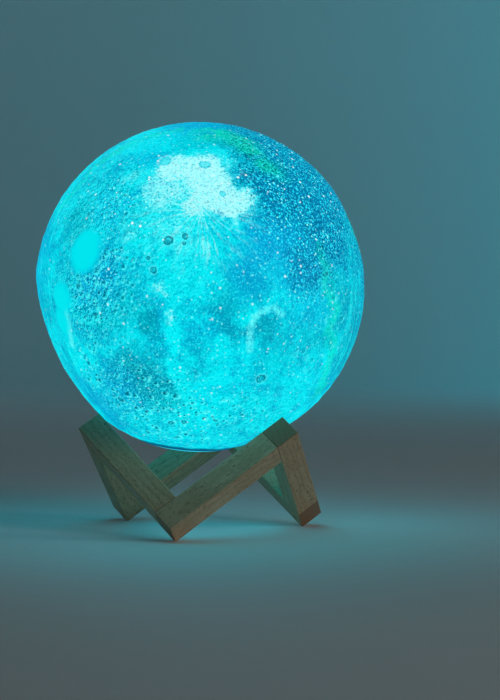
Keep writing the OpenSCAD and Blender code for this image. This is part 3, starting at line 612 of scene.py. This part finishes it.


# Painted light and shade on the crust: lit from the upper left, by its rise between two places 0.3 mm apart
uphill = add(tree, "VectorMath", {0: mm, 1: (0.22, -0.06, -0.24)}, operation="ADD")
slope = add(tree, "Math", {0: crust(mm), 1: crust(uphill)}, operation="SUBTRACT")
shaded, sunlit = (
    add(tree, "MapRange", {0: slope, 1: low, 2: high}, interpolation_type="SMOOTHSTEP")
    for low, high in ((-0.01, -0.09), (0.02, 0.11)))
calm = spread(tuple((compass, height, radius, 2.0, 1.0) for compass, height, radius in lakes), ball)
rugged = spread(((-130, -2, 14, 10, 0.75), (-118, -42, 16, 9, 0.5), (-130, 27, 14, 10, 0.6),
                 (-100, 12, 14, 12, 0.25), (-60, -52, 12, 12, 0.35), (84, -30, 18, 12, 0.6),
                 (130, 6, 16, 12, 0.6), (170, -30, 16, 10, 0.6), (-88, 10, 180, 5, 0.12)), loose)
pitted = spread(((-112, -46, 18, 9, 1.0), (-104, -54, 14, 8, 1.0), (-128, -30, 12, 10, 0.9),
                 (-124, 4, 14, 10, 0.9), (-120, 26, 10, 8, 0.6), (-88, -56, 16, 8, 0.9),
                 (-70, -52, 12, 10, 0.5), (-40, -15, 14, 12, 0.4), (100, -20, 20, 12, 0.9),
                 (160, 15, 18, 12, 0.8), (50, 20, 14, 10, 0.7)), loose)
starry = spread(((-50, 30, 24, 10, 1.0), (-30, 40, 24, 12, 1.0), (-52, 2, 14, 12, 0.85),
                 (-112, 30, 22, 12, 0.95), (-122, 5, 14, 10, 0.85), (-88, 5, 80, 40, 0.7),
                 (0, 45, 30, 15, 1.0), (130, 45, 28, 14, 1.0), (60, -5, 24, 14, 0.7),
                 (-88, 5, 180, 5, 0.4)), loose)
rugged, pitted, starry = (
    add(tree, "Math", {0: add(tree, "Math", {0: ground, 1: calm}, operation="SUBTRACT"), 1: 0.0},
        operation="MAXIMUM") for ground in (rugged, pitted, starry))
# The crust's painted shade and painted highlights, where its ground is rugged
colour = wash_over(colour, "#004a68", 0.95, shaded, rugged, dappled)
colour = wash_over(colour, "#38fcff", 0.9, sunlit, rugged, dappled)
# Craterlets in cells of 2.4 and 4.2 mm, drawn in painted light and shade
for across, share, dark, light in (
    (2.4, 0.85, "#005670", "#50fcff"), (4.2, 0.85, "#006078", "#48fcff"),
):
    bright_side, dark_side = craterlets(across, share)
    colour = wash_over(colour, dark, 0.95, *dark_side, pitted)
    colour = wash_over(colour, light, 0.9, *bright_side, pitted)


def bowls(places):
    """Floor, ring and rim of single craters: compass and height angle, radius in millimetres."""
    near = None
    for compass, height, radius in places:
        one = add(tree, "VectorMath", {0: ball, 1: direction(compass, height)}, out=1,
                  operation="DISTANCE")
        one = add(tree, "Math", {0: one, 1: 1000 * globe_r / radius}, operation="MULTIPLY")
        near = one if near is None else add(tree, "Math", {0: near, 1: one}, operation="MINIMUM")
    wobble = add(tree, "Math", {0: fine, 1: 0.9, 2: near}, operation="MULTIPLY_ADD")
    inside, ring_in, ring_out, rim_in, rim_out = (
        add(tree, "MapRange", {0: wobble, 1: low, 2: high}, interpolation_type="SMOOTHSTEP")
        for low, high in ((1.45, 1.15), (0.95, 1.25), (1.6, 1.35), (1.35, 1.55), (2.0, 1.65)))
    return inside, (ring_in, ring_out), (rim_in, rim_out)


# The larger craters: dark ones over the globe, then pale ones in the highlands
for places, floor, ring, rim, depth in (
    (((-99.6, 15.1, 2.1), (-93.9, 16.5, 1.4), (-94.2, 14.1, 0.9), (-104.2, 5.3, 1.5),
      (-106.1, 9.2, 0.9), (-63.9, -32.1, 2.2), (-104.6, -52.9, 1.3), (-97.1, -52.1, 1.3),
      (-126.5, -41.2, 1.4), (-41.3, 4.5, 0.8), (60, 10, 3.5), (100, 0, 2.5), (140, 30, 4.0),
      (20, -30, 3.0), (170, -10, 2.5)),
     "#0098b0", "#006078", "#60f8ff", 0.75),
    (((-86.9, 45.0, 2.6), (-80.2, 32.1, 1.6), (-106.2, 46.5, 2.8), (110, 48, 3.0)),
     "#50eef6", "#28cfe2", "#c8ffff", 0.8),
):
    inside, ring_masks, rim_masks = bowls(places)
    colour = wash_over(colour, floor, depth, inside)
    colour = wash_over(colour, ring, depth, *ring_masks)
    colour = wash_over(colour, rim, 0.3, *rim_masks)
# The lava lakes are bare and bright, and the darkest grit lies on the night side
colour = wash_over(colour, "#00e4ee", 1.0, calm)
deep_green = spread(((-58, 46, 6, 6, 1.0), (-57, 38, 4, 4, 0.8), (66, 34, 6, 5, 0.8)), loose)
colour = wash_over(colour, "#00504c", 1.0, dark_grit, deep_green)
colour = wash_over(colour, "#003c5e", 0.95, dark_grit, night)
colour = wash_over(colour, "#0080a0", 0.5, dark_grit, starry)
colour = wash_over(colour, "#30dcfa", 0.75, bright_grit, night)
colour = wash_over(colour, "#30f8ff", 0.6, bright_grit, starry)


# The starry wash: sprayed dots of 0.3 to 1.3 mm, thickest and whitest over the night side
def stars(across, least, largest, share, rarity):
    """Round dots of mixed sizes, one in each cell of a size in millimetres."""
    cells = add(tree, "TexVoronoi", {"Vector": mm, "Scale": 1 / across})
    chance = add(tree, "SeparateXYZ", {0: cells.node.outputs["Color"]})
    chance = add(tree, "MapRange", {0: chance, 1: 1 - share})
    size = add(tree, "MapRange", {0: add(tree, "Math", {0: chance, 1: rarity}, operation="POWER"),
                                  3: least, 4: largest})
    inside = add(tree, "Math", {0: size, 1: cells}, operation="SUBTRACT")
    return add(tree, "MapRange", {0: inside, 1: 0.0, 2: 0.1}, interpolation_type="SMOOTHSTEP")


for across, least, largest, share, rarity, strength, wash in (
    (1.2, 0.1, 0.46, 0.85, 1.2, 1.0, "#18ecff"), (1.8, 0.05, 0.36, 0.85, 1.5, 1.0, "#80ffff"),
    (3.4, 0.03, 0.24, 0.8, 1.6, 1.0, "#e8ffff"),
):
    dots = stars(across, least, largest, share, rarity)
    colour = wash_over(colour, wash, strength, dots, starry, starry)

# Round the base the thick collar behind the skin holds the light back: a painted shadow darkens the glow
# there
round_base = add(tree, "VectorMath", {0: ball, 1: -base_up}, out=1, operation="DOT_PRODUCT")
collar_shade = add(tree, "MapRange", {0: round_base, 1: math.cos(math.radians(22.5)),
                                2: math.cos(math.radians(19.5)), 4: 0.9},
             interpolation_type="SMOOTHSTEP")
colour = add(tree, "Mix", {0: collar_shade, 6: colour, 7: paint("#00406e")}, out=2, data_type="RGBA")
tree.links.new(colour, shader.inputs["Emission Color"])
shader.inputs["Emission Strength"].default_value = 1.0
# The base colour is painted shade: a darkened copy of the glow colour in place of the pale plastic, so the
# studio light adds little to the skin
glow_dimmed_base = add(tree, "Mix", {0: 0.85, 6: colour, 7: paint("#001c22")}, out=2, data_type="RGBA")
tree.links.new(glow_dimmed_base, shader.inputs["Base Color"])
shader.inputs["Roughness"].default_value = 0.6
shader.inputs["Specular IOR Level"].default_value = 0.1
globe.data.materials.clear()
globe.data.materials.append(glow)

# A screen can't show the skin as bright as it is beside the floor, so a soft light inside the
# globe adds the rest of its glow to the floor, and only there. The rails shade it, and it rises
# with the globe.
GLOW_POWER, GLOW_SIZE, GLOW_DROP = 0.15, 0.03, 0.045
own_data = bpy.data.lights.new("own_glow", "POINT")
own_data.energy, own_data.shadow_soft_size = GLOW_POWER, GLOW_SIZE
own_data.color = paint("#00ccea")[:3]
own_glow = bpy.data.objects.new("own_glow", own_data)
own_glow.location = globe_at - Vector((0, 0, GLOW_DROP))
own_glow.visible_camera = False
own_glow.parent = globe
bpy.context.scene.collection.objects.link(own_glow)
lit, shading = (bpy.data.collections.new(name) for name in ("lit_by_own_glow", "shading_own_glow"))
lit.objects.link(sweep)
for rail_name in rail_cuts:
    shading.objects.link(frame["nodes"][rail_name])
own_glow.light_linking.receiver_collection = lit
own_glow.light_linking.blocker_collection = shading


# The base cap: one white ABS moulding, glued into the globe's hole. Its domed lip carries on
# the globe's curve and glows where light comes through beside the collar. The mould's eroded
# grain, real at a tenth of a millimetre, is drawn at 0.35 mm so that it shows.
def moulded(name, hex_colour, rough, flow_mm=8.0):
    """A moulded plastic: faint flow marks, a fine eroded grain, and a little unevenness."""
    finish, tree, shader = finish_named(name)
    place = add(tree, "TexCoord", out=3)
    grain = add(tree, "TexNoise", {"Vector": place, "Scale": 1000 / 0.35, "Detail": 3.0,
                                   "Roughness": 0.6})
    flow = add(tree, "TexNoise", {"Vector": place, "Scale": 1000 / flow_mm, "Detail": 4.0,
                                  "Distortion": 1.2})
    shade = add(tree, "MapRange", {"Value": flow, "From Min": 0.35, "From Max": 0.65,
                                   "To Max": 0.16})
    colour = add(tree, "Mix", {0: shade, 6: paint(hex_colour), 7: paint("#3b4246")}, out=2,
                 data_type="RGBA")
    tree.links.new(colour, shader.inputs["Base Color"])
    gloss = add(tree, "MapRange", {"Value": grain, "From Min": 0.3, "From Max": 0.7,
                                   "To Min": rough - 0.06, "To Max": rough + 0.08})
    tree.links.new(gloss, shader.inputs["Roughness"])
    bump = add(tree, "Bump", {"Strength": 0.25, "Distance": 0.00004, "Height": grain})
    tree.links.new(bump, shader.inputs["Normal"])
    return finish, tree, shader, place


cap_finish, tree, shader, place = moulded(
    "White ABS moulding, lit through at its lip", "#dfe9ea", 0.42)
rim_way = add(tree, "VectorMath", {0: place, 1: pole}, operation="SUBTRACT")
off_axis = add(tree, "VectorMath", {0: rim_way, 1: base_up}, operation="CROSS_PRODUCT")
off_axis = add(tree, "VectorMath", {0: off_axis}, out=1, operation="LENGTH")
lit_rim = add(tree, "MapRange", {"Value": off_axis, "From Min": 0.011, "From Max": 0.0215},
              interpolation_type="SMOOTHSTEP")
uneven = add(tree, "TexNoise", {"Vector": place, "Scale": 1000 / 6.25, "Detail": 3.0})
uneven = add(tree, "MapRange", {"Value": uneven, "From Min": 0.3, "From Max": 0.7, "To Min": 0.75})
lit_rim = add(tree, "Math", {0: lit_rim, 1: uneven}, operation="MULTIPLY")
rim_glow = add(tree, "Mix", {0: lit_rim, 6: paint("#00303c"), 7: paint("#00c8e2")}, out=2,
               data_type="RGBA")
tree.links.new(rim_glow, shader.inputs["Emission Color"])
shader.inputs["Emission Strength"].default_value = 1.0
dressed("base_cap", cap_finish)

# The power button and the charge lamp's light pipe, both seen from below in the cap: a grey ABS
# moulding that slides in its hole, held by its flange, and a clear acrylic rod pushed into its
# own, whose sanded end spreads the light.
dressed("power_button", moulded("Grey ABS moulding, semi-gloss", "#c3cccf", 0.3)[0])
pipe, _, shader, _ = moulded("Clear acrylic light pipe, frosted at its end", "#e8f6f7", 0.18)
shader.inputs["Transmission Weight"].default_value = 0.85
shader.inputs["IOR"].default_value = 1.49
dressed("light_pipe", pipe)


# The charging socket: a stamped and tinned steel shell folded round a black nylon tongue and
# soldered to the control board. The switch, its plunger, the chip and the receiver are moulded
# in the same black, and the screws' zinc plating shines as the tin does.
def plated(name, hex_colour, rough):
    """Plated steel: drawn scratches 2.5 mm long and a sixth wide, over a cloudy gloss."""
    finish, tree, shader = finish_named(name)
    place = add(tree, "TexCoord", out=3)
    drawn = add(tree, "VectorMath", {0: place, 1: (400.0, 400.0, 6000.0)}, operation="MULTIPLY")
    scratch = add(tree, "TexNoise", {"Vector": drawn, "Scale": 1.0, "Detail": 4.0})
    cloud = add(tree, "TexNoise", {"Vector": place, "Scale": 1000 / 2, "Detail": 3.0})
    worn = add(tree, "MapRange", {"Value": scratch, "From Min": 0.4, "From Max": 0.7,
                                  "To Max": 0.35})
    colour = add(tree, "Mix", {0: worn, 6: paint(hex_colour), 7: paint("#6c7073")}, out=2,
                 data_type="RGBA")
    tree.links.new(colour, shader.inputs["Base Color"])
    gloss = add(tree, "MapRange", {"Value": cloud, "From Min": 0.3, "From Max": 0.7,
                                   "To Min": rough - 0.08, "To Max": rough + 0.1})
    tree.links.new(gloss, shader.inputs["Roughness"])
    bump = add(tree, "Bump", {"Strength": 0.2, "Distance": 0.00002, "Height": scratch})
    tree.links.new(bump, shader.inputs["Normal"])
    shader.inputs["Metallic"].default_value = 1.0
    return finish


dressed("usb_shell", plated("Tinned steel sheet", "#c9cccf", 0.32))
black = moulded("Black nylon moulding", "#1b1c1e", 0.5)[0]
for node_name in ("usb_tongue", "tact_switch", "switch_plunger", "control_chip", "ir_receiver"):
    dressed(node_name, black)
screw_finish = plated("Zinc plated steel", "#bfc2c4", 0.3)
for node_name in ("board_screws", "light_board_screws"):
    dressed(node_name, screw_finish)


# The two printed circuit boards: glass laminate under solder mask, screwed to their bosses. The
# lower one is green with its tracks showing faintly, the upper one white, so that it throws the
# light outwards.
def solder_mask(name, mask_colour, track_colour):
    """Glossy mask with faint tracks 2.6 mm apart under it, over a half-millimetre glass weave."""
    finish, tree, shader = finish_named(name)
    place = add(tree, "TexCoord", out=3)
    tracks = add(tree, "TexVoronoi", {"Vector": place, "Scale": 1000 / 2.6},
                 distance="MANHATTAN", feature="F1")
    lines = add(tree, "MapRange", {"Value": tracks, "From Min": 0.5, "From Max": 0.56},
                interpolation_type="SMOOTHSTEP")
    weave = add(tree, "TexNoise", {"Vector": place, "Scale": 1000 / 0.5, "Detail": 2.0})
    colour = add(tree, "Mix", {0: lines, 6: paint(mask_colour), 7: paint(track_colour)}, out=2,
                 data_type="RGBA")
    tree.links.new(colour, shader.inputs["Base Color"])
    tree.links.new(add(tree, "MapRange", {"Value": weave, "To Min": 0.22, "To Max": 0.4}),
                   shader.inputs["Roughness"])
    bump = add(tree, "Bump", {"Strength": 0.3, "Distance": 0.00004, "Height": lines})
    tree.links.new(bump, shader.inputs["Normal"])
    return finish


dressed("control_board", solder_mask("Green solder mask on glass laminate", "#14552f", "#22713f"))
dressed("light_board", solder_mask("White solder mask on glass laminate", "#eceee8", "#dcdfd8"))

# What sits on and between the boards: moulded, wrapped or sintered, each bought in, and soldered,
# plugged or wedged in its place. The lights' phosphor glows through its white case.
for node_name, name, hex_colour, rough in (
    ("board_parts", "Sintered ferrite and ceramic", "#4c433d", 0.6),
    ("battery_plug", "Natural nylon moulding", "#ece8da", 0.4),
    ("battery_pads", "Grey foam pad", "#4c5053", 0.85),
    ("battery_cell", "Blue shrink wrap over a steel can", "#2a63a8", 0.24),
    ("battery_leads", "Red soft insulation", "#a82026", 0.4),
    ("light_leads", "White soft insulation", "#e6e6e2", 0.4),
    ("inner_cover", "White ABS moulding, inner cover", "#e6eded", 0.45),
):
    dressed(node_name, moulded(name, hex_colour, rough, flow_mm=3.0)[0])
lamp_finish, tree, shader, place = moulded(
    "Phosphor in a white case, lit", "#f4ecb4", 0.35, flow_mm=1.2)
speck = add(tree, "TexNoise", {"Vector": place, "Scale": 1000 / 0.6, "Detail": 2.0})
lit_phosphor = add(tree, "Mix", {0: speck, 6: paint("#7ce8f0"), 7: paint("#e2ffff")}, out=2,
                   data_type="RGBA")
tree.links.new(lit_phosphor, shader.inputs["Emission Color"])
shader.inputs["Emission Strength"].default_value = 1.0
dressed("lights", lamp_finish)
dressed("charge_led", lamp_finish)
